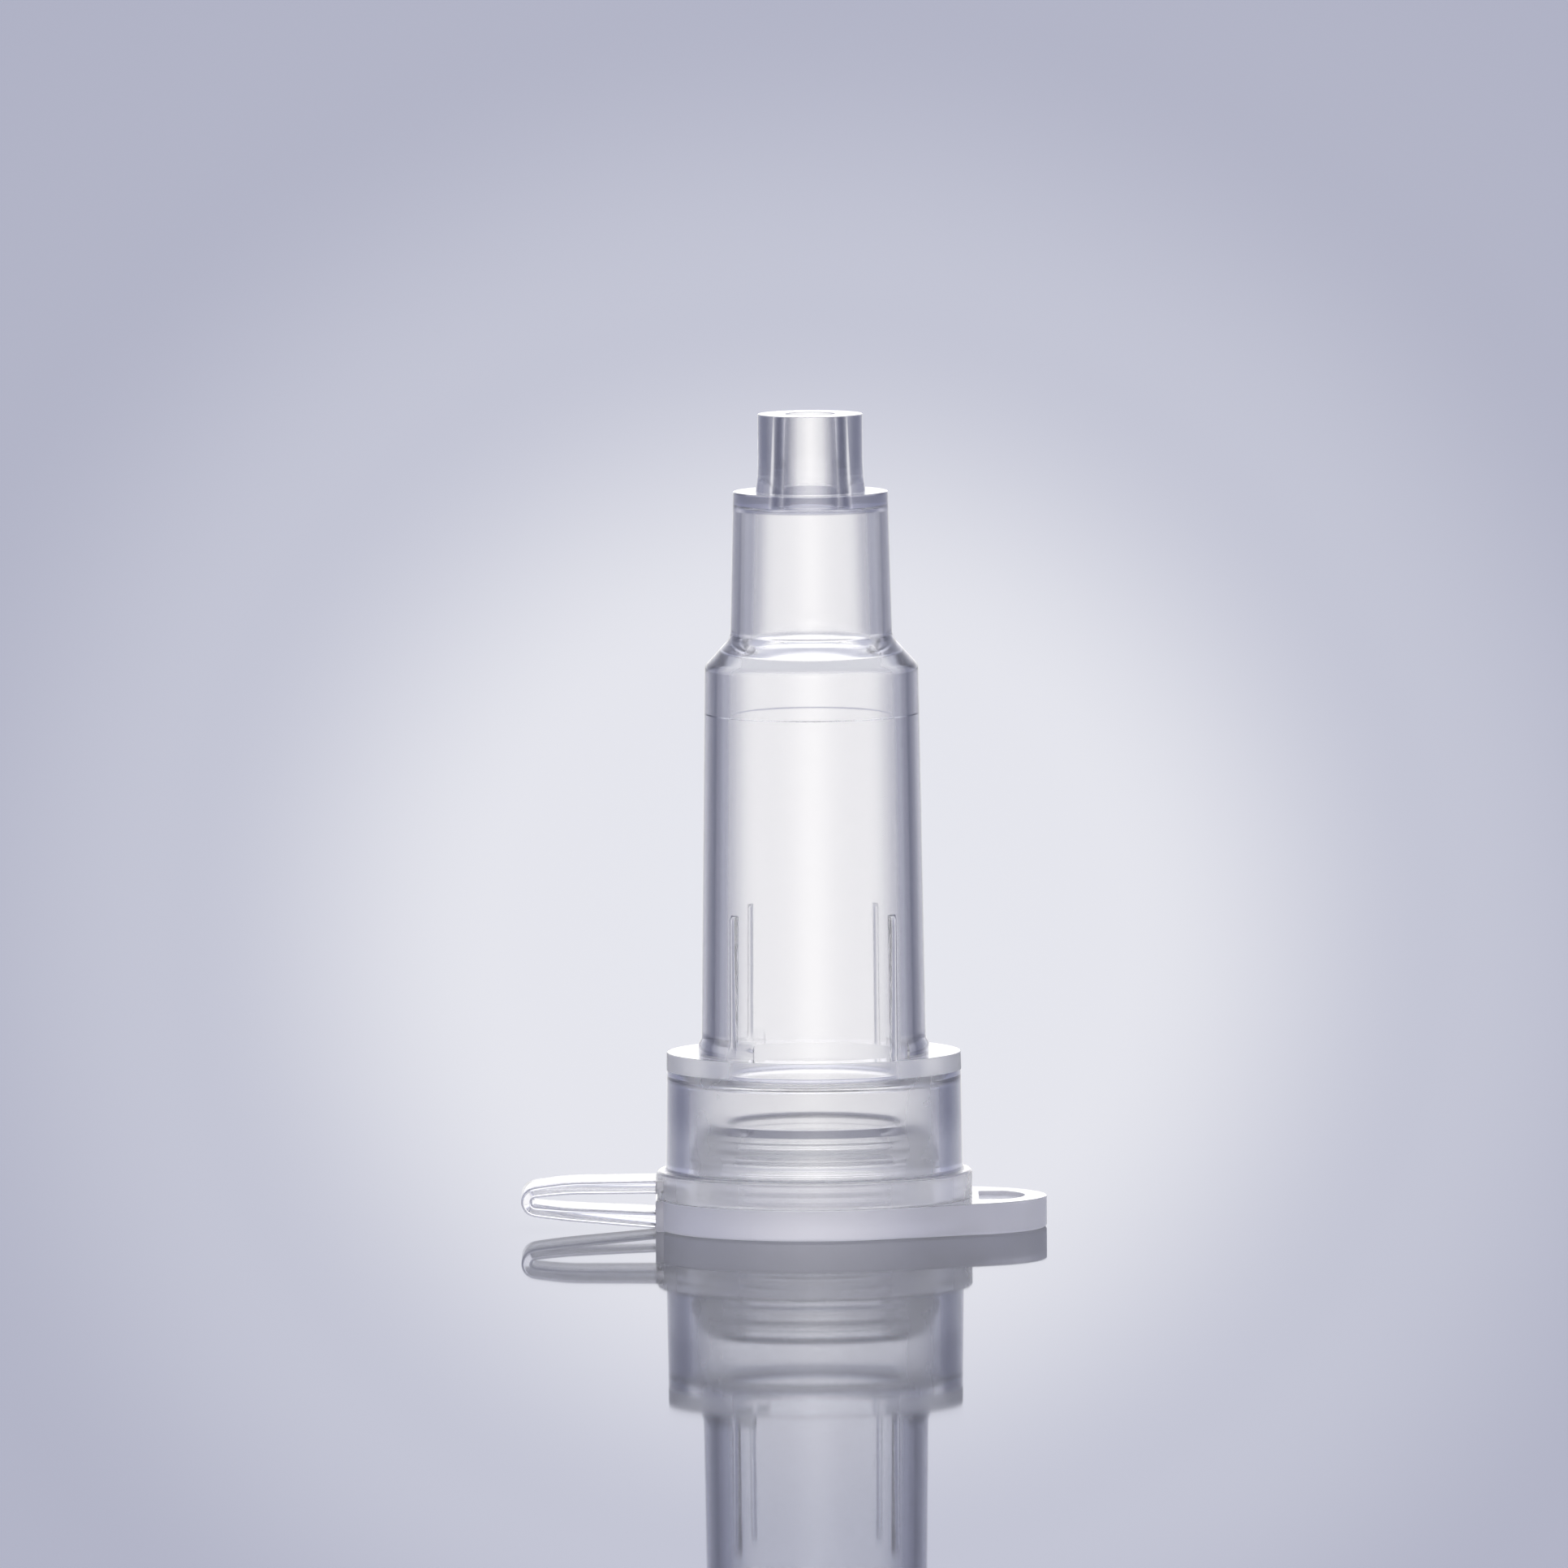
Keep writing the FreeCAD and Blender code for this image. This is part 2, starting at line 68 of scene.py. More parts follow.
CHAMBER_RADIUS = 4.9
# The chamber widens by the first towards the mouth, over the second
CHAMBER_LEAD = (0.18, 1.28)
BODY_FOOT_RADIUS = 4.39
BODY_HEAD_RADIUS = 4.17
BODY_TOP = 22.0
SHOULDER_TOP = 23.1
NECK_FOOT_RADIUS = 3.16
NECK_HEAD_RADIUS = 3.02
ROOF = 28.79
ROOF_UNDERSIDE = 28.21
CAVITY_FOOT_RADIUS = 2.29
CAVITY_HEAD_RADIUS = 2.15
NOZZLE_FOOT_RADIUS = 2.14
NOZZLE_RADIUS = 2.05
NOZZLE_FLARE = 0.85
TIP = 31.81
OUTLET_FOOT_RADIUS = 1.09
OUTLET_TIP_RADIUS = 0.97
BORE_MOUTH_RADIUS = 3.43
BORE_HEAD_RADIUS = 3.27
DISC_BORE_RADIUS = 3.21
SEAT = 20.08
SEAT_BEVEL = 0.05
STRAP_HALF_WIDTH = 1.8
STRAP_FACE = 6.2
STRAP_KNEE = -9.6
STRAP_SOFTNESS = 0.12
UPPER_LEG = (1.5, 2.0)
FOLD_CENTRE = (-10.86, 1.2)
FOLD_OUTER_RADIUS = 0.6
FOLD_INNER_RADIUS = 0.17
EDGE_SOFTNESS = 0.035

PLUG_RADIUS = 4.66
PLUG_BEAD_RADIUS = 4.85
PLUG_RIM_RADIUS = 4.42
PLUG_HOLLOW_RADIUS = 3.44
PLUG_STEP = 3.66
PLUG_TOP = 4.15
PLUG_RIDGE_PITCH = 0.4
PLUG_RIDGE_DEPTH = 0.05

RIB_AZIMUTHS = (45.0, 135.0, 225.0, 315.0)
RIB_PROUD = 0.1
RIB_TOP = 12.46
RIB_HALF_ANGLE = math.degrees(0.2 / BODY_FOOT_RADIUS)
LUG_PROUD = 0.1
LUG_LAND_TOP = 7.25
LUG_TOP = 7.45
# Middle azimuth and half span of each foot lug, in degrees; azimuth 0 is +X
FOOT_LUGS = ((180.0, 58.0), (0.0, 34.0))
COLUMNS = 224


def smooth_mesh(name, bm, sharp_angle=32.0):
    bmesh.ops.remove_doubles(bm, verts=bm.verts, dist=1e-8)
    bmesh.ops.recalc_face_normals(bm, faces=bm.faces)
    mesh = bpy.data.meshes.new(name)
    bm.to_mesh(mesh)
    bm.free()
    mesh.polygons.foreach_set("use_smooth", [True] * len(mesh.polygons))
    mesh.set_sharp_from_angle(angle=math.radians(sharp_angle))
    piece = bpy.data.objects.new(name, mesh)
    bpy.context.scene.collection.objects.link(piece)
    return piece


def rounded(corners):
    """Corners are (r, z, rounding). Returns the closed outline with each corner rounded."""
    out = []
    count = len(corners)
    for i, (r, z, radius) in enumerate(corners):
        here = Vector((r, z))
        if radius <= 0:
            out.append(here)
            continue
        back = (Vector(corners[i - 1][:2]) - here)
        ahead = (Vector(corners[(i + 1) % count][:2]) - here)
        half = back.angle(ahead) / 2
        reach = radius / math.tan(half)
        first, last = here + back.normalized() * reach, here + ahead.normalized() * reach
        centre = here + (back.normalized() + ahead.normalized()).normalized() * (radius / math.sin(half))
        steps = max(3, int(math.degrees(math.pi - 2 * half) / 12) + 1)
        a, b = first - centre, last - centre
        turn = math.atan2(a.x * b.y - a.y * b.x, a.dot(b))
        for k in range(steps + 1):
            t = turn * k / steps
            out.append(centre + Vector((a.x * math.cos(t) - a.y * math.sin(t),
                                        a.x * math.sin(t) + a.y * math.cos(t))))
    return out


def with_rows(points, longest=0.7, near=0.03):
    """Splits long straight runs, with a point close to each end to hold the shading there."""
    out = []
    for i, here in enumerate(points):
        out.append(here)
        ahead = points[(i + 1) % len(points)]
        length = (ahead - here).length
        if length < 4 * near:
            continue
        stops = [near]
        inner = length - 2 * near
        parts = max(1, math.ceil(inner / longest))
        stops += [near + inner * k / parts for k in range(1, parts)]
        stops.append(length - near)
        out += [here + (ahead - here) * (s / length) for s in stops]
    return out


def tube_profile():
    """Up the outside from the mouth, over the nozzle's tip and down the inside."""
    s = EDGE_SOFTNESS
    return [
        (FLANGE_RADIUS, LID_TOP, s),
        (FLANGE_RADIUS, FLANGE_TOP, FLANGE_BEVEL),
        (COLLAR_FOOT_RADIUS, FLANGE_TOP, FLANGE_BEVEL),
        (COLLAR_HEAD_RADIUS, COLLAR_TOP, s),
        (BODY_FOOT_RADIUS, COLLAR_TOP, 0.0),
        (BODY_HEAD_RADIUS, BODY_TOP, 0.5),
        (NECK_FOOT_RADIUS, SHOULDER_TOP, 0.6),
        (NECK_HEAD_RADIUS, ROOF, s),
        (NOZZLE_FOOT_RADIUS, ROOF, 0.0),
        (NOZZLE_RADIUS, ROOF + NOZZLE_FLARE, 9.0),
        (NOZZLE_RADIUS, TIP, s),
        (OUTLET_TIP_RADIUS, TIP, s),
        (OUTLET_FOOT_RADIUS, ROOF_UNDERSIDE, s),
        (CAVITY_HEAD_RADIUS, ROOF_UNDERSIDE, 0.15),
        (CAVITY_FOOT_RADIUS, SHOULDER_TOP - 0.1, 0.1),
        (DISC_BORE_RADIUS, BODY_TOP + 0.25, 0.1),
        (DISC_BORE_RADIUS, SEAT, 0.0),
        (BORE_HEAD_RADIUS, SEAT - SEAT_BEVEL, 0.0),
        (BORE_MOUTH_RADIUS, CEILING, 0.25),
        (CHAMBER_RADIUS, CEILING, 0.3),
        (CHAMBER_RADIUS, LID_TOP + CHAMBER_LEAD[1], 0.0),
        (CHAMBER_RADIUS + CHAMBER_LEAD[0], LID_TOP, s),
    ]


def body_radius(z):
    share = (z - COLLAR_TOP) / (BODY_TOP - COLLAR_TOP)
    return BODY_FOOT_RADIUS + (BODY_HEAD_RADIUS - BODY_FOOT_RADIUS) * share


def angle_gap(a, b):
    return abs((a - b + 180) % 360 - 180)


def make_columns():
    """Azimuths in degrees, each with what stands proud there. Edges of lugs and the seat come twice."""
    half_seat = math.degrees(math.atan2(STRAP_HALF_WIDTH, STRAP_FACE))
    spans = [("lug", a, h) for a, h in FOOT_LUGS]
    spans.append(("seat", 180.0, half_seat))
    edges = {}
    for kind, mid, half in spans:
        for side in (-1, 1):
            edges[round((mid + side * half) % 360, 6)] = (kind, -side)
    across_ribs = {round(mid + RIB_HALF_ANGLE * s, 6) for mid in RIB_AZIMUTHS
                   for s in (-1, -0.95, -0.8, -0.55, -0.28, 0, 0.28, 0.55, 0.8, 0.95, 1)}
    marks = {round(360.0 * k / COLUMNS, 6) for k in range(COLUMNS)}
    marks = {m for m in marks if all(angle_gap(m, e) > 0.25 for e in edges)
             and all(angle_gap(m, mid) > RIB_HALF_ANGLE + 0.25 for mid in RIB_AZIMUTHS)}
    columns = []
    for azimuth in sorted(marks | across_ribs | set(edges)):
        kinds = {k for k, mid, half in spans if angle_gap(azimuth, mid) < half - 1e-4}
        if azimuth in edges:
            kind, inward = edges[azimuth]
            pair = [kinds | {kind}, kinds - {kind}]
            if inward > 0:
                pair.reverse()
            columns += [(azimuth, pair[0]), (azimuth, pair[1])]
        else:
            columns.append((azimuth, kinds))
    return columns


def rib_height(azimuth, z):
    """From 0 beside a rib to 1 along its crown, with a rounded top end."""
    side = min(angle_gap(azimuth, mid) for mid in RIB_AZIMUTHS) / RIB_HALF_ANGLE
    end = max(0.0, (z - RIB_TOP + 0.2) / 0.2)
    return math.sqrt(max(0.0, 1 - side ** 2)) * math.sqrt(max(0.0, 1 - end ** 2))


def make_tube():
    points = with_rows(rounded(tube_profile()))
    # rows that end the ribs, the lugs and the strap's seat
    rows = []
    stops = {"body": [LUG_LAND_TOP, LUG_TOP] + [RIB_TOP - d for d in (0.2, 0.12, 0.06, 0.02, 0.0)],
             "flange": [UPPER_LEG[0] - 1e-4, UPPER_LEG[0], UPPER_LEG[1], UPPER_LEG[1] + 1e-4]}
    for i, here in enumerate(points):
        rows.append(here)
        ahead = points[(i + 1) % len(points)]
        on_body = abs(here.x - body_radius(here.y)) < 1e-3 and abs(ahead.x - body_radius(ahead.y)) < 1e-3
        on_flange = abs(here.x - FLANGE_RADIUS) < 1e-6 and abs(ahead.x - FLANGE_RADIUS) < 1e-6
        for wall, zs in stops.items():
            if (wall == "body" and on_body) or (wall == "flange" and on_flange):
                for z in zs:
                    if here.y < z < ahead.y:
                        rows.append(here.lerp(ahead, (z - here.y) / (ahead.y - here.y)))
    columns = make_columns()
    bm = bmesh.new()
    rings = []
    for row in rows:
        ring = []
        on_body = abs(row.x - body_radius(row.y)) < 1e-3 and row.y < BODY_TOP
        on_flange = abs(row.x - FLANGE_RADIUS) < 1e-6
        for azimuth, kinds in columns:
            r = row.x
            if on_body and "lug" in kinds and row.y <= LUG_TOP + 1e-6:
                fade = min(1.0, max(0.0, (LUG_TOP - row.y) / (LUG_TOP - LUG_LAND_TOP)))
                r = max(r, row.x + (BODY_FOOT_RADIUS + LUG_PROUD - row.x) * fade)
            if on_body:
                crown = BODY_FOOT_RADIUS + RIB_PROUD
                r = max(r, row.x + (crown - row.x) * rib_height(azimuth, row.y))
            if on_flange and "seat" in kinds and UPPER_LEG[0] - 1e-6 <= row.y <= UPPER_LEG[1] + 1e-6:
                r = STRAP_FACE / abs(math.cos(math.radians(azimuth)))
            a = math.radians(azimuth)
            ring.append(bm.verts.new((r * math.cos(a) * MM, r * math.sin(a) * MM, row.y * MM)))
        rings.append(ring)
    join_rings(bm, rings, closed=True)
    return smooth_mesh("clear_tube", bm)


def join_rings(bm, rings, closed):
    count = len(rings[0])
    last = len(rings) if closed else len(rings) - 1
    for i in range(last):
        a, b = rings[i], rings[(i + 1) % len(rings)]
        for j in range(count):
            k = (j + 1) % count
            bm.faces.new((a[j], a[k], b[k], b[j]))


def lid_edge(azimuth):
    """Distance from the axis to the lid's rim: circle, tangent lines and the tab's rounded end."""
    a = math.radians((azimuth + 180) % 360 - 180)
    centre = TAB_REACH - TAB_END_RADIUS
    lean = math.acos((LID_RADIUS - TAB_END_RADIUS) / centre)
    tip_join = Vector((centre + TAB_END_RADIUS * math.cos(lean), TAB_END_RADIUS * math.sin(lean)))
    tip_angle = math.atan2(tip_join.y, tip_join.x)
    s = abs(a)
    if s >= lean:
        r = LID_RADIUS
    elif s <= tip_angle:
        r = centre * math.cos(s) + math.sqrt(TAB_END_RADIUS ** 2 - (centre * math.sin(s)) ** 2)
    else:
        r = LID_RADIUS / math.cos(lean - s)
    return r


def recess_ends(azimuth):
    """Near and far distance of the thumb recess from the axis, or None beside it."""
    a = abs((azimuth + 180) % 360 - 180)
    s = math.radians(a)
    widest = math.degrees(math.atan2(RECESS_HALF, RECESS_NEAR))
    if a > widest + 1e-6:
        return None
    near = RECESS_NEAR / math.cos(s)
    centre = RECESS_FAR - RECESS_BOW
    far = centre * math.cos(s) + math.sqrt(RECESS_BOW ** 2 - (centre * math.sin(s)) ** 2)
    if s > 1e-6:
        far = min(far, RECESS_HALF / math.sin(s))
    return near, max(near, far)


def lid_columns():
    half_seat = math.degrees(math.atan2(STRAP_HALF_WIDTH, STRAP_FACE))
    widest = math.degrees(math.atan2(RECESS_HALF, RECESS_NEAR))
    edges = {round(180 - half_seat, 6): "seat", round(180 + half_seat, 6): "seat",
             round(widest, 6): "recess", round(360 - widest, 6): "recess"}
    marks = {round(360.0 * k / COLUMNS, 6) for k in range(COLUMNS)}
    # closer together round the tab's end
    marks |= {round((-32 + 64 * k / 96) % 360, 6) for k in range(97)}
    marks = {m for m in marks if all(angle_gap(m, e) > 0.15 for e in edges)}
    columns = []
    for azimuth in sorted(marks | set(edges)):
        in_seat = angle_gap(azimuth, 180) < half_seat - 1e-4
        in_recess = angle_gap(azimuth, 0) < widest - 1e-4
        kind = edges.get(azimuth)
        if kind == "seat":
            first = azimuth < 180
            columns += [(azimuth, not first, False), (azimuth, first, False)]
        elif kind == "recess":
            rising = azimuth < 180
            columns += [(azimuth, False, rising), (azimuth, False, not rising)]
        else:
            columns.append((azimuth, in_seat, in_recess))
    return columns


def ridged(point):
    """Fine sealing ridges round the plug's outer wall."""
    if point.x < PLUG_RIM_RADIUS - 0.02 or not LID_TOP + 0.1 < point.y < PLUG_STEP - 0.06:
        return point
    wave = 0.5 - 0.5 * math.cos(2 * math.pi * (point.y - LID_TOP) / PLUG_RIDGE_PITCH)
    return Vector((point.x - PLUG_RIDGE_DEPTH * wave, point.y))


def make_lid():
    s = EDGE_SOFTNESS
    plug = rounded([
        (PLUG_RADIUS, LID_TOP, 0.0),
        (PLUG_RADIUS, 2.47, 0.1),
        (PLUG_BEAD_RADIUS, 2.75, 0.06),
        (PLUG_BEAD_RADIUS, 3.05, 0.06),
        (PLUG_RADIUS, 3.33, 0.1),
        (4.57, PLUG_STEP, s),
        (PLUG_RIM_RADIUS, PLUG_STEP, 0.0),
        (PLUG_RIM_RADIUS, 3.88, 0.05),
        (4.06, PLUG_TOP, 0.1),
        (PLUG_HOLLOW_RADIUS, PLUG_TOP, 0.1),
        (PLUG_HOLLOW_RADIUS, LID_TOP, 0.1),
        (1.0, LID_TOP, 0.0),
    ])
    plug = with_rows(plug)
    stop = max(i for i, p in enumerate(plug) if abs(p.x - 1.0) < 1e-6)
    plug = plug[:stop + 1]
    outside = max(i for i, p in enumerate(plug) if p.x > 4.5)
    outer_wall = []
    for here, ahead in zip(plug[:outside], plug[1:]):
        parts = max(1, math.ceil((ahead - here).length / (PLUG_RIDGE_PITCH / 8)))
        outer_wall += [ridged(here.lerp(ahead, k / parts)) for k in range(parts)]
    plug = outer_wall + plug[outside:]
    rings = []
    bm = bmesh.new()
    columns = lid_columns()

    def ring(place):
        made = []
        for azimuth, in_seat, in_recess in columns:
            r, z = place(azimuth, in_seat, in_recess)
            a = math.radians(azimuth)
            made.append(bm.verts.new((r * math.cos(a) * MM, r * math.sin(a) * MM, z * MM)))
        rings.append(made)

    def edge(azimuth, in_seat):
        if in_seat:
            return STRAP_FACE / abs(math.cos(math.radians(azimuth)))
        return lid_edge(azimuth)

    for r in (1.0, 3.0, 5.0):
        ring(lambda azimuth, in_seat, in_recess, r=r: (r, 0.0))
    for inset in (0.6, 0.3):
        ring(lambda azimuth, in_seat, in_recess, d=inset: (edge(azimuth, in_seat) - d, 0.0))
    steps = 6
    for k in range(steps + 1):
        t = math.pi / 2 * k / steps
        inset, z = LID_EDGE * (1 - math.sin(t)), LID_EDGE * (1 - math.cos(t))
        ring(lambda azimuth, in_seat, in_recess, d=inset, z=z: (edge(azimuth, in_seat) - d, z))
    for z in (0.15, 0.45, 0.8, LID_TOP - s - 0.03):
        ring(lambda azimuth, in_seat, in_recess, z=z: (edge(azimuth, in_seat), z))
    for k in range(5):
        t = math.pi / 2 * k / 4
        inset, z = s * (1 - math.cos(t)), LID_TOP - s * (1 - math.sin(t))
        ring(lambda azimuth, in_seat, in_recess, d=inset, z=z: (edge(azimuth, in_seat) - d, z))
    ring(lambda azimuth, in_seat, in_recess: (edge(azimuth, in_seat) - s - 0.03, LID_TOP))

    def recess(which, z):
        def place(azimuth, in_seat, in_recess):
            outer = min(edge(azimuth, in_seat) - s - 0.06, 5.95)
            if not in_recess:
                return outer, LID_TOP
            near, far = recess_ends(azimuth)
            return (far if which == "far" else near), z
        ring(place)

    recess("far", LID_TOP)
    recess("far", RECESS_FLOOR)
    recess("near", RECESS_FLOOR)
    recess("near", LID_TOP)
    ring(lambda azimuth, in_seat, in_recess: (5.9, LID_TOP))
    for point in plug:
        ring(lambda azimuth, in_seat, in_recess, p=point: (p.x, p.y))
    join_rings(bm, rings, closed=False)
    bm.faces.new(list(reversed(rings[0])))
    bm.faces.new(rings[-1])
    return smooth_mesh("clear_lid", bm)


def touch(place, centre, radius, side):
    """Where a line from place touches a circle."""
    reach = centre - place
    turn = math.acos(radius / reach.length)
    angle = math.atan2(-reach.y, -reach.x) + side * turn
    return centre + Vector((math.cos(angle), math.sin(angle))) * radius


def strap_face(radius, top_root, top_knee, low_knee, low_root):
    """One face of the folded strap, seen from the side: out along the upper leg, round the fold and back."""
    centre = Vector(FOLD_CENTRE)
    knees = Vector((STRAP_KNEE, top_knee)), Vector((STRAP_KNEE, low_knee))
    on, off = touch(knees[0], centre, radius, 1), touch(knees[1], centre, radius, -1)
    start = math.atan2(on.y - centre.y, on.x - centre.x)
    stop = math.atan2(off.y - centre.y, off.x - centre.x) + 2 * math.pi
    roots = Vector((-STRAP_FACE, top_root)), Vector((-STRAP_FACE, low_root))
    points = [roots[0].lerp(knees[0], k / 24) for k in range(24)]
    points += [knees[0].lerp(on, k / 12) for k in range(12)]
    for k in range(32):
        t = start + (stop - start) * k / 32
        points.append(centre + Vector((math.cos(t), math.sin(t))) * radius)
    points += [off.lerp(knees[1], k / 12) for k in range(12)]
    points += [knees[1].lerp(roots[1], k / 24) for k in range(25)]
    for _ in range(14):
        points = ([points[0]]
                  + [(a + b * 2 + c) / 4 for a, b, c in zip(points, points[1:], points[2:])]
                  + [points[-1]])
    return points


def make_strap():
    level = FOLD_CENTRE[1]
    outer = strap_face(FOLD_OUTER_RADIUS, UPPER_LEG[1], level + 0.76, level - 0.76, 0.14)
    inner = strap_face(FOLD_INNER_RADIUS, UPPER_LEG[0], level + 0.29, level - 0.29, 0.76)
    softness, corner_steps = STRAP_SOFTNESS, 5
    bm = bmesh.new()
    rings = []
    for o, i in zip(outer, inner):
        across = i - o
        depth = across.length
        down = across.normalized()
        ring = []
        side = STRAP_HALF_WIDTH - softness
        for y, d, start in ((side, softness, 0.0), (side, depth - softness, 90.0),
                            (-side, depth - softness, 180.0), (-side, softness, 270.0)):
            for k in range(corner_steps + 1):
                t = math.radians(start + 90.0 * k / corner_steps)
                place = o + down * (d - softness * math.cos(t))
                ring.append(bm.verts.new((place.x * MM, (y + softness * math.sin(t)) * MM, place.y * MM)))
        rings.append(ring)
    join_rings(bm, rings, closed=False)
    bm.faces.new(list(reversed(rings[0])))
    bm.faces.new(rings[-1])
    return smooth_mesh("clear_strap", bm)


# Materials
PLASTIC_IOR = 1.49
WAVE_SCALE, WAVE_STRENGTH, WAVE_DEPTH = 200.0, 0.012, 0.0005
GRAIN_SCALE = 900.0
GRAIN_SPREAD = (0.8, 1.2)
# Roughness of a polished mould, and the levels between which the collar's colour turns paler beside the plug,
# as painted light
EVEN = ((0.0, 0.06), (1.0, 0.09))
PAINTED_LIGHT_FADE = (3.3, 4.7)


def math_node(tree, operation, a, b=None):
    node = tree.nodes.new("ShaderNodeMath")
    node.operation = operation
    for socket, value in zip(node.inputs, (a, b)):
        if value is None:
            continue
        if isinstance(value, (int, float)):
            socket.default_value = value
        else:
            tree.links.new(value, socket)
    return node.outputs[0]


def colour_ramp(tree, stops, fac):
    """A ramp through (place, colour) stops."""
    node = tree.nodes.new("ShaderNodeValToRGB")
    node.color_ramp.interpolation = "EASE"
    ramp = node.color_ramp.elements
    while len(ramp) < len(stops):
        ramp.new(0.5)
    for element, (place, colour) in zip(ramp, stops):
        element.position = place
        element.color = (*colour, 1.0)
    tree.links.new(fac, node.inputs["Fac"])
    return node.outputs["Color"]


def mix_colours(tree, factor, a, b, blend_type="MIX"):
    """A blend of two colours. The factor and the colours are values or sockets."""
    node = tree.nodes.new("ShaderNodeMix")
    node.data_type = "RGBA"
    node.blend_type = blend_type
    for socket, value in (("Factor", factor), ("A", a), ("B", b)):
        if isinstance(value, bpy.types.NodeSocket):
            tree.links.new(value, node.inputs[socket])
        elif isinstance(value, tuple):
            node.inputs[socket].default_value = (*value, 1.0)
        else:
            node.inputs[socket].default_value = value
    return node.outputs["Result"]


def map_range(tree, value, source=(0.0, 1.0), target=(0.0, 1.0), smooth=False):
    node = tree.nodes.new("ShaderNodeMapRange")
    if smooth:
        node.interpolation_type = "SMOOTHSTEP"
    node.inputs["From Min"].default_value, node.inputs["From Max"].default_value = source
    node.inputs["To Min"].default_value, node.inputs["To Max"].default_value = target
    tree.links.new(value, node.inputs["Value"])
    return node.outputs["Result"]


def noise(tree, place, scale, detail):
    node = tree.nodes.new("ShaderNodeTexNoise")
    node.inputs["Scale"].default_value = scale
    node.inputs["Detail"].default_value = detail
    tree.links.new(place, node.inputs["Vector"])
    return node.outputs["Fac"]


def clear_plastic(name, clearness, colours, roughness, paler_painted_colours=None):
    """Moulded polypropylene, faintly wavy, with painted light and shade in its colour. Colours and roughness
    are (facing, value) stops: 0 is a wall seen square on and 1 is a wall seen edge-on; the colour stops paint
    shade and highlights by how a wall faces the view. Low colours, paler painted light, take over beside the
    lid's plug.
    """
    material = bpy.data.materials.new(name)
    material.use_nodes = True
    tree = material.node_tree
    shader = tree.nodes["Principled BSDF"]
    shader.inputs["IOR"].default_value = PLASTIC_IOR
    shader.inputs["Transmission Weight"].default_value = clearness
    layer = tree.nodes.new("ShaderNodeLayerWeight")
    layer.inputs["Blend"].default_value = 0.5
    facing = layer.outputs["Facing"]
    place = tree.nodes.new("ShaderNodeTexCoord").outputs["Object"]
    # Painted shade and painted highlights: colour set by how squarely the wall faces the view
    painted_light_tint = colour_ramp(tree, colours, facing)
    if paler_painted_colours:
        # Painted light: paler colours low on the collar, beside the plug
        split = tree.nodes.new("ShaderNodeSeparateXYZ")
        tree.links.new(place, split.inputs[0])
        painted_light_rise = map_range(tree, split.outputs["Z"], (PAINTED_LIGHT_FADE[0] * MM, PAINTED_LIGHT_FADE[1] * MM), smooth=True)
        painted_light_tint = mix_colours(tree, painted_light_rise, colour_ramp(tree, paler_painted_colours, facing), painted_light_tint)
    tree.links.new(painted_light_tint, shader.inputs["Base Color"])
    bump = tree.nodes.new("ShaderNodeBump")
    bump.inputs["Strength"].default_value = WAVE_STRENGTH
    bump.inputs["Distance"].default_value = WAVE_DEPTH
    tree.links.new(noise(tree, place, WAVE_SCALE, 1.0), bump.inputs["Height"])
    tree.links.new(bump.outputs["Normal"], shader.inputs["Normal"])
    grain = map_range(tree, noise(tree, place, GRAIN_SCALE, 2.0), target=GRAIN_SPREAD)
    rough = colour_ramp(tree, [(stop, (r, r, r)) for stop, r in roughness], facing)
    tree.links.new(math_node(tree, "MULTIPLY", rough, grain), shader.inputs["Roughness"])
    return material


def dress(piece, materials, body=None, node=None):
    for material in materials:
        piece.data.materials.append(material)
    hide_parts(node)
    if body:
        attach(piece, body)


def finish_faces(piece, slot, low, high, nearest=0.0, farthest=100.0):
    """Gives one of the piece's materials to the faces between two levels and two radii, in millimetres."""
    for face in piece.data.polygons:
        x, y, z = face.center / MM
        if low < z < high and nearest < math.hypot(x, y) < farthest:
            face.material_index = slot


# Painted shade: a little darker where a wall is seen edge-on
inner = clear_plastic("inner_polypropylene", 0.97, (
    (0.0, (0.97, 0.97, 0.972)), (1.0, (0.92, 0.92, 0.935))), EVEN)
# Painted shade: a dark band where the body's and neck's walls turn edge-on
polished = clear_plastic("clear_polypropylene", 0.97, (
    (0.0, (0.94, 0.935, 0.94)), (0.41, (0.93, 0.93, 0.94)), (0.49, (0.36, 0.365, 0.43)),
    (0.55, (0.08, 0.085, 0.13)), (0.64, (0.10, 0.105, 0.15)), (0.82, (0.40, 0.41, 0.48))), EVEN)
# Painted shade and painted highlight: a dark band and then a white band where the nozzle's wall turns edge-on
nozzle = clear_plastic("nozzle_polypropylene", 0.97, (
    (0.0, (0.94, 0.935, 0.94)), (0.02, (0.93, 0.925, 0.93)), (0.06, (0.66, 0.66, 0.69)),
    (0.11, (0.50, 0.505, 0.56)), (0.18, (0.20, 0.21, 0.28)), (0.26, (0.20, 0.21, 0.28)),
    (0.30, (0.99, 0.99, 0.99)), (0.345, (0.99, 0.99, 0.99)), (0.39, (0.86, 0.865, 0.90)),
    (0.6, (0.84, 0.845, 0.88)), (1.0, (0.84, 0.845, 0.88))), EVEN)
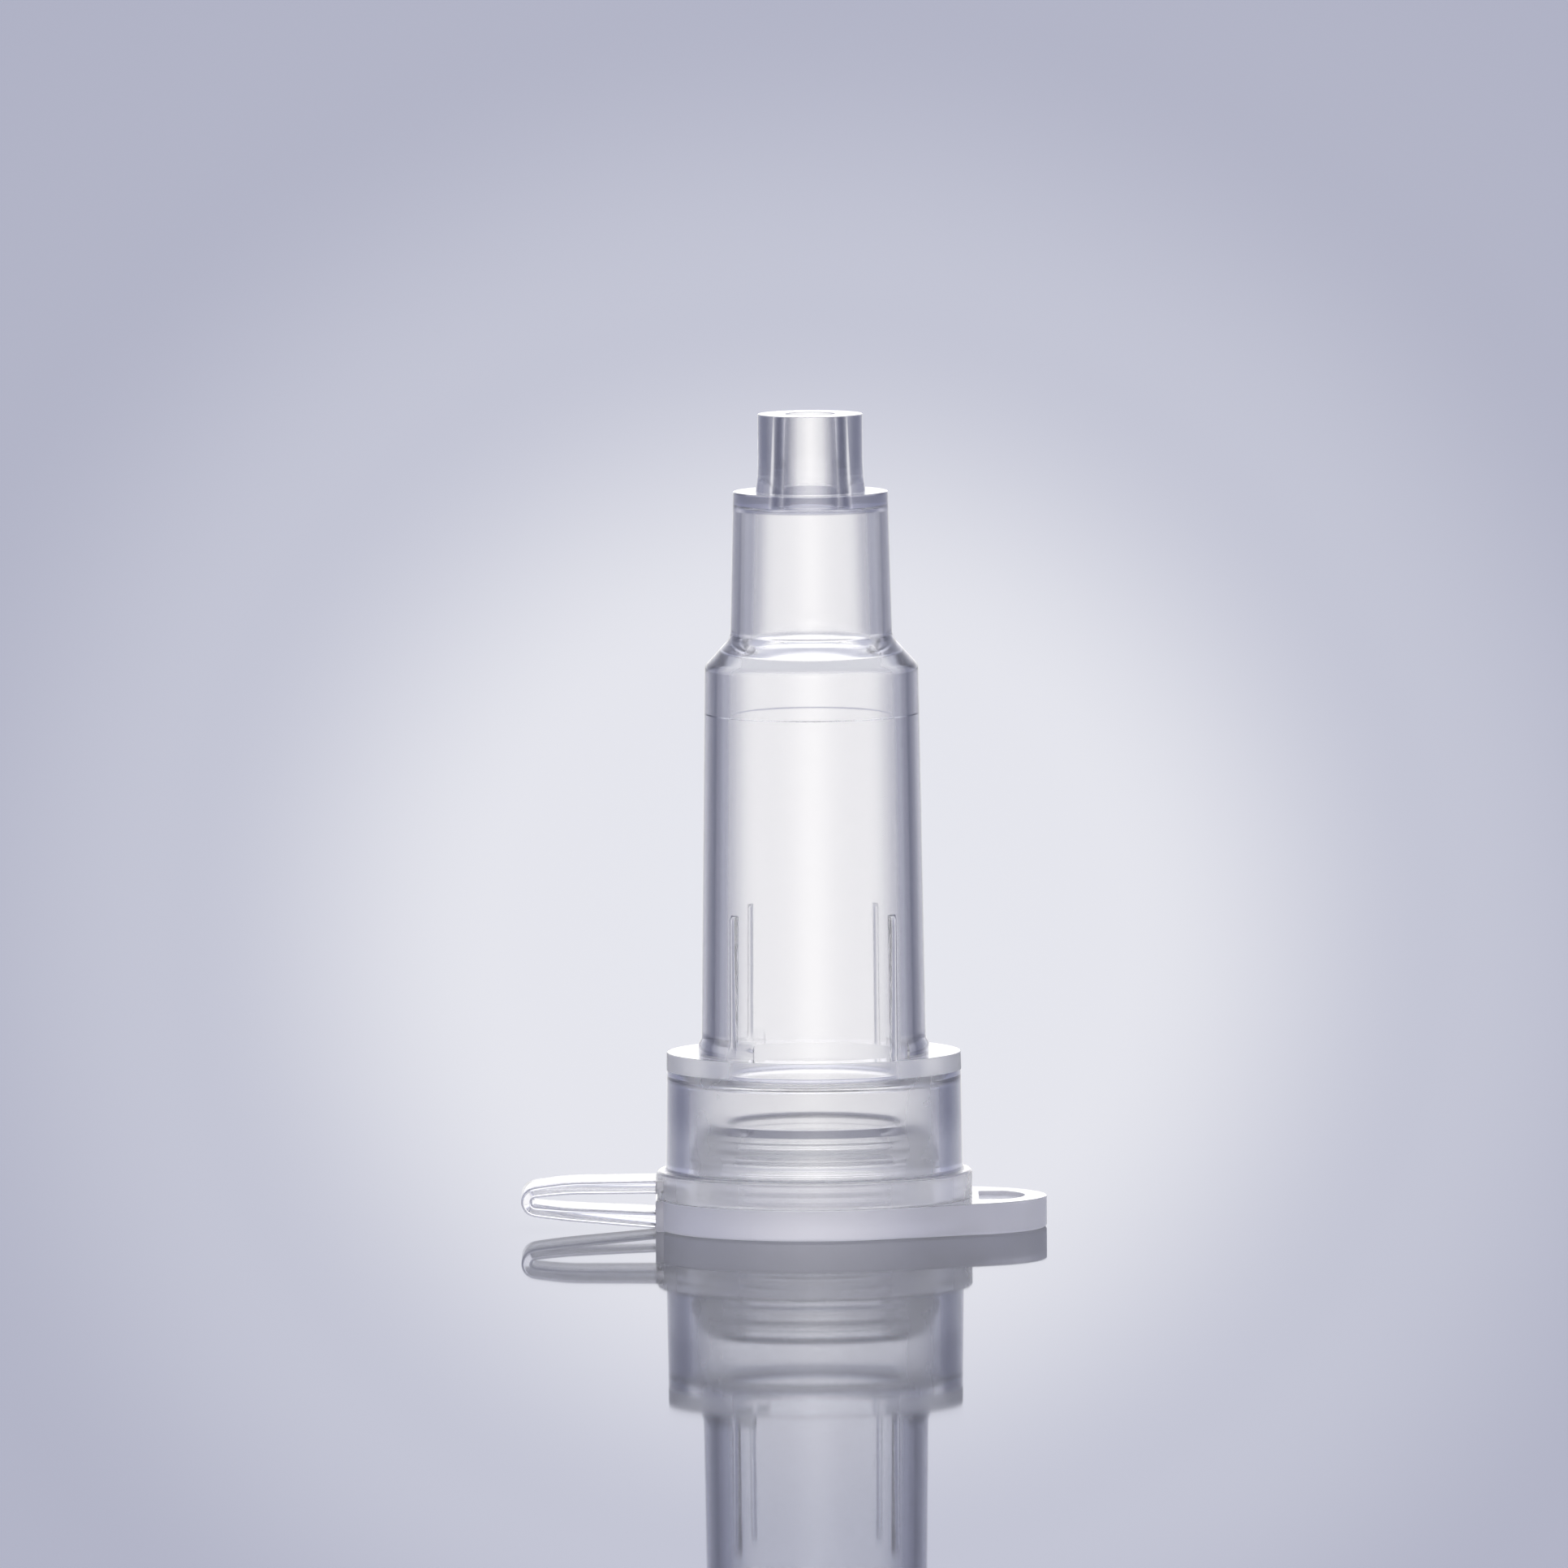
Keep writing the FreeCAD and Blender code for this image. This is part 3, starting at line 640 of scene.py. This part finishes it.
# Painted shade: a dark band where the collar turns edge-on; the low colours are a paler copy, painted light
# beside the plug
collar = clear_plastic("collar_polypropylene", 0.95, (
    (0.0, (0.81, 0.805, 0.82)), (0.25, (0.66, 0.665, 0.71)), (0.45, (0.56, 0.57, 0.65)),
    (0.58, (0.27, 0.285, 0.39)), (0.8, (0.42, 0.435, 0.53))),
    ((0.0, 0.06), (0.12, 0.08), (0.24, 0.28), (0.38, 0.28), (0.46, 0.08)), (
        (0.0, (0.985, 0.985, 0.99)), (0.25, (0.92, 0.925, 0.95)), (0.45, (0.82, 0.83, 0.89)),
        (0.58, (0.42, 0.435, 0.54)), (0.8, (0.56, 0.575, 0.66))))
# Painted shade: dark where the shoulder's cone is seen edge-on
shoulder = clear_plastic("shoulder_polypropylene", 1.0, (
    (0.0, (0.99, 0.99, 0.99)), (0.44, (0.97, 0.97, 0.98)), (0.52, (0.42, 0.43, 0.52)),
    (0.6, (0.24, 0.25, 0.34)), (1.0, (0.30, 0.31, 0.40))), EVEN)
# Painted shade: slightly darker where the collar's top is seen edge-on
web = clear_plastic("web_polypropylene", 0.95, (
    (0.0, (0.99, 0.99, 0.99)), (0.2, (0.97, 0.97, 0.98)), (1.0, (0.95, 0.955, 0.98))),
    ((0.0, 0.09), (0.1, 0.10), (0.25, 0.4), (1.0, 0.45)))
# Painted light: darker seen square on and paler where the flange's side is seen edge-on
hazy = clear_plastic("hazy_polypropylene", 0.72, (
    (0.0, (0.74, 0.735, 0.77)), (0.3, (0.95, 0.95, 0.97)), (1.0, (0.99, 0.99, 0.995))),
    ((0.0, 0.2), (1.0, 0.3)))
# Painted shade: a dark colour for thin bands of clear wall that only look dark
painted_shade = clear_plastic("painted_shade_polypropylene", 0.94, (
    (0.0, (0.42, 0.425, 0.50)), (0.5, (0.38, 0.39, 0.48)), (1.0, (0.34, 0.35, 0.44))),
    ((0.0, 0.12), (1.0, 0.16)))
# Painted shade: darker where the plug's wall is seen edge-on
plug_wall = clear_plastic("plug_polypropylene", 0.98, (
    (0.0, (0.99, 0.99, 0.99)), (0.3, (0.98, 0.98, 0.99)), (0.5, (0.94, 0.945, 0.97)),
    (1.0, (0.88, 0.885, 0.92))), ((0.0, 0.05), (0.14, 0.08), (0.3, 0.35), (1.0, 0.5)))
# Painted shade: a dark band where the strap's faces turn edge-on
thin = clear_plastic("strap_polypropylene", 0.96, (
    (0.0, (0.91, 0.91, 0.93)), (0.05, (0.86, 0.86, 0.89)), (0.16, (0.40, 0.41, 0.50)),
    (0.32, (0.40, 0.41, 0.50)), (0.48, (0.86, 0.865, 0.90)), (1.0, (0.90, 0.905, 0.93))), EVEN)
# Painted light: a little paler where the lid is seen edge-on
satin = clear_plastic("satin_polypropylene", 0.64, (
    (0.0, (0.75, 0.745, 0.80)), (0.4, (0.80, 0.80, 0.87)), (1.0, (0.82, 0.825, 0.90))),
    ((0.0, 0.36), (1.0, 0.4)))
# The first material of a piece is the one of all faces that no band below takes
tube = make_tube()
tube_walls = (inner, polished, nozzle, collar, web, hazy, painted_shade, shoulder)
dress(tube, tube_walls, "column", "column_tube")
outside = CHAMBER_RADIUS + 0.3
for wall, *band in (
        (polished, COLLAR_TOP, BODY_TOP + 0.1, 3.8),
        (polished, SHOULDER_TOP - 0.05, ROOF - 0.01, 2.7),
        (nozzle, ROOF, TIP - 0.01, 1.6),
        (collar, FLANGE_TOP, CEILING, outside),
        (web, CEILING, COLLAR_TOP - 0.01, outside),
        (hazy, LID_TOP - 0.01, FLANGE_TOP - 0.1, outside),
        # Painted shade: dark lines below the roof, round the bore's mouth and on the seat's bevel
        (painted_shade, ROOF_UNDERSIDE + 0.05, ROOF - 0.05, 2.8),
        (painted_shade, CEILING + 0.01, CEILING + 0.25, 0.0, 4.0),
        (painted_shade, SEAT - SEAT_BEVEL, SEAT, 0.0, 3.5),
        (shoulder, BODY_TOP + 0.1, SHOULDER_TOP - 0.05, 3.22)):
    finish_faces(tube, tube_walls.index(wall), *band)
lid = make_lid()
lid_walls = (inner, satin, plug_wall, painted_shade)
dress(lid, lid_walls, "lid", "snap_lid")
for wall, *band in (
        (satin, -0.01, LID_TOP - 0.05, 5.0),
        (plug_wall, LID_TOP + 0.05, 3.86, 4.38),
        # Painted shade: a dark line round the plug's top
        (painted_shade, 3.86, 4.2)):
    finish_faces(lid, lid_walls.index(wall), *band)
strap = make_strap()
dress(strap, (thin,), None, "hinge_strap")
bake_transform(strap)


# Stage: a pale glossy floor under a soft studio world
# In metres: the floor, and its pool of light, drawn long so that it looks round through the camera's long lens
FLOOR_HALF_SIZE = 20.0
FLOOR_GAP = 0.00001
POOL_DEPTH = 1.35
POOL_SPREAD = 1.354
POOL_NEAR, POOL_FAR = 0.1706, 0.1149
POOL_REACH = 0.05
POOL_COLOURS = ((0.0, (1.0, 1.0, 1.0)), (0.24, (0.985, 0.98, 0.985)), (0.5, (0.69, 0.70, 0.77)),
                (0.74, (0.565, 0.575, 0.665)), (1.0, (0.545, 0.555, 0.65)))
FLOOR_IOR = 1.5
GLOSS_BOOST, GLOSS_LIMIT = 1.55, 0.97
GLOSS_ROUGHNESS = 0.03
# What the gloss reflects to the camera, and what it sends on to the object
GLOSS_SEEN = (0.455, 0.464, 0.494)
GLOSS_OTHER = (0.63, 0.63, 0.63)
MATT_COLOUR = (0.86, 0.86, 0.86)
MATT_SHARE = 0.4


def make_floor():
    bm = bmesh.new()
    bmesh.ops.create_grid(bm, x_segments=1, y_segments=1, size=FLOOR_HALF_SIZE)
    mesh = bpy.data.meshes.new("floor")
    bm.to_mesh(mesh)
    bm.free()
    floor = bpy.data.objects.new("floor", mesh)
    floor.location = (0, 0, -FLOOR_GAP)
    bpy.context.scene.collection.objects.link(floor)
    material = bpy.data.materials.new("glossy_floor")
    material.use_nodes = True
    tree = material.node_tree
    tree.nodes.clear()

    # A pool of light round the object that thins out into blue-grey. A long lens sees the floor
    # foreshortened, so the pool is a long one.
    coords = tree.nodes.new("ShaderNodeTexCoord")
    split = tree.nodes.new("ShaderNodeSeparateXYZ")
    tree.links.new(coords.outputs["Object"], split.inputs[0])
    x, y, _ = split.outputs
    depth = math_node(tree, "MAXIMUM", math_node(tree, "ADD", y, POOL_DEPTH), 0.3)
    across = math_node(tree, "DIVIDE", math_node(tree, "MULTIPLY", x, POOL_SPREAD), depth)
    up = math_node(tree, "SUBTRACT", POOL_FAR, math_node(tree, "DIVIDE", POOL_NEAR, depth))
    reach = math_node(tree, "SQRT", math_node(tree, "ADD", math_node(tree, "MULTIPLY", across, across),
                                              math_node(tree, "MULTIPLY", up, up)))
    pool = colour_ramp(tree, POOL_COLOURS, math_node(tree, "MULTIPLY", reach, 1 / POOL_REACH))
    path = tree.nodes.new("ShaderNodeLightPath")

    def tinted(seen, other):
        """The pool's colour times one for the camera, and a plain one for light on its way to the object."""
        scaled = mix_colours(tree, 1.0, pool, seen, "MULTIPLY")
        return mix_colours(tree, path.outputs["Is Camera Ray"], other, scaled)

    out = tree.nodes.new("ShaderNodeOutputMaterial")
    fresnel = tree.nodes.new("ShaderNodeFresnel")
    fresnel.inputs["IOR"].default_value = FLOOR_IOR
    share = math_node(tree, "MULTIPLY", fresnel.outputs[0], GLOSS_BOOST)
    share = math_node(tree, "MINIMUM", share, GLOSS_LIMIT)
    see_through = tree.nodes.new("ShaderNodeBsdfTransparent")
    tree.links.new(tinted((1.0, 1.0, 1.0), (1.0, 1.0, 1.0)), see_through.inputs["Color"])
    matt = tree.nodes.new("ShaderNodeBsdfDiffuse")
    tree.links.new(tinted(MATT_COLOUR, MATT_COLOUR), matt.inputs["Color"])
    base = tree.nodes.new("ShaderNodeMixShader")
    base.inputs[0].default_value = MATT_SHARE
    gloss = tree.nodes.new("ShaderNodeBsdfGlossy")
    gloss.inputs["Roughness"].default_value = GLOSS_ROUGHNESS
    tree.links.new(tinted(GLOSS_SEEN, GLOSS_OTHER), gloss.inputs["Color"])
    mix = tree.nodes.new("ShaderNodeMixShader")
    tree.links.new(see_through.outputs[0], base.inputs[1])
    tree.links.new(matt.outputs[0], base.inputs[2])
    tree.links.new(share, mix.inputs[0])
    tree.links.new(base.outputs[0], mix.inputs[1])
    tree.links.new(gloss.outputs[0], mix.inputs[2])
    tree.links.new(mix.outputs[0], out.inputs["Surface"])
    mesh.materials.append(material)


PANEL_DIM = (0.38, 0.39, 0.50)
PANEL_BRIGHT = (1.25, 1.24, 1.25)
# Heights of direction, 0 to 1 for level to upright, between which the panels give way to the sky
PANEL_EDGE = (0.2, 0.42)
# From straight down at 0 to straight up at 1, with a dim belt above the panels
SKY_COLOURS = ((0.0, (0.85, 0.85, 0.88)), (0.3, (0.72, 0.73, 0.79)), (0.5, (0.72, 0.73, 0.79)),
               (0.62, (0.42, 0.43, 0.52)), (0.78, (0.42, 0.43, 0.52)), (0.90, (0.88, 0.88, 0.88)))
BACKDROP = (0.80, 0.80, 0.83)


def make_world():
    """Soft light panels on four sides near the horizon with dimmer corners between them, and a sky above."""
    world = bpy.data.worlds.new("studio")
    bpy.context.scene.world = world
    world.use_nodes = True
    tree = world.node_tree
    tree.nodes.clear()
    coords = tree.nodes.new("ShaderNodeTexCoord")
    split = tree.nodes.new("ShaderNodeSeparateXYZ")
    tree.links.new(coords.outputs["Generated"], split.inputs[0])
    x, y, z = split.outputs
    azimuth = math_node(tree, "ARCTAN2", x, y)
    wave = math_node(tree, "COSINE", math_node(tree, "MULTIPLY", azimuth, 4.0))
    panel = math_node(tree, "POWER", math_node(tree, "ADD", math_node(tree, "MULTIPLY", wave, 0.5), 0.5), 1.5)
    steep = map_range(tree, math_node(tree, "ABSOLUTE", z), PANEL_EDGE, smooth=True)
    height = math_node(tree, "ADD", math_node(tree, "MULTIPLY", z, 0.5), 0.5)
    panels = mix_colours(tree, panel, PANEL_DIM, PANEL_BRIGHT)
    sky = mix_colours(tree, steep, panels, colour_ramp(tree, SKY_COLOURS, height))

    path = tree.nodes.new("ShaderNodeLightPath")
    seen = tree.nodes.new("ShaderNodeBackground")
    seen.inputs["Color"].default_value = (*BACKDROP, 1.0)
    light = tree.nodes.new("ShaderNodeBackground")
    tree.links.new(sky, light.inputs["Color"])
    # a little stronger above the horizon than below it
    tree.links.new(map_range(tree, z, (-0.02, 0.05), (1.0, 1.4)), light.inputs["Strength"])
    mix = tree.nodes.new("ShaderNodeMixShader")
    tree.links.new(path.outputs["Is Camera Ray"], mix.inputs[0])
    tree.links.new(light.outputs[0], mix.inputs[1])
    tree.links.new(seen.outputs[0], mix.inputs[2])
    out = tree.nodes.new("ShaderNodeOutputWorld")
    tree.links.new(mix.outputs[0], out.inputs["Surface"])


# Camera: long lens, 1.35 m away, 4.7 degrees above the column's middle
CAMERA_DISTANCE = 1350.0
CAMERA_HEIGHT = 126.0
AIM = (-1.1, 0.0, 17.35)
WIDTH_AT_AXIS = 61.1
ROLL = 0.35


def make_camera():
    data = bpy.data.cameras.new("camera")
    camera = bpy.data.objects.new("camera", data)
    bpy.context.scene.collection.objects.link(camera)
    place = Vector((AIM[0], -CAMERA_DISTANCE, CAMERA_HEIGHT))
    aim = Vector(AIM)
    look = (aim - place).to_track_quat("-Z", "Y")
    camera.rotation_mode = "QUATERNION"
    camera.rotation_quaternion = look @ Quaternion((0, 0, 1), math.radians(-ROLL))
    camera.location = place * MM
    data.sensor_width = 36.0
    data.lens = 36.0 * (aim - place).length / WIDTH_AT_AXIS
    data.clip_start, data.clip_end = 0.01, 100.0
    bpy.context.scene.camera = camera


make_floor()
make_world()
make_camera()

scene = bpy.context.scene
scene.view_settings.view_transform = "Standard"
# light has to get through many walls of clear plastic
scene.cycles.max_bounces = 32
scene.cycles.transmission_bounces = 32
scene.cycles.glossy_bounces = 20
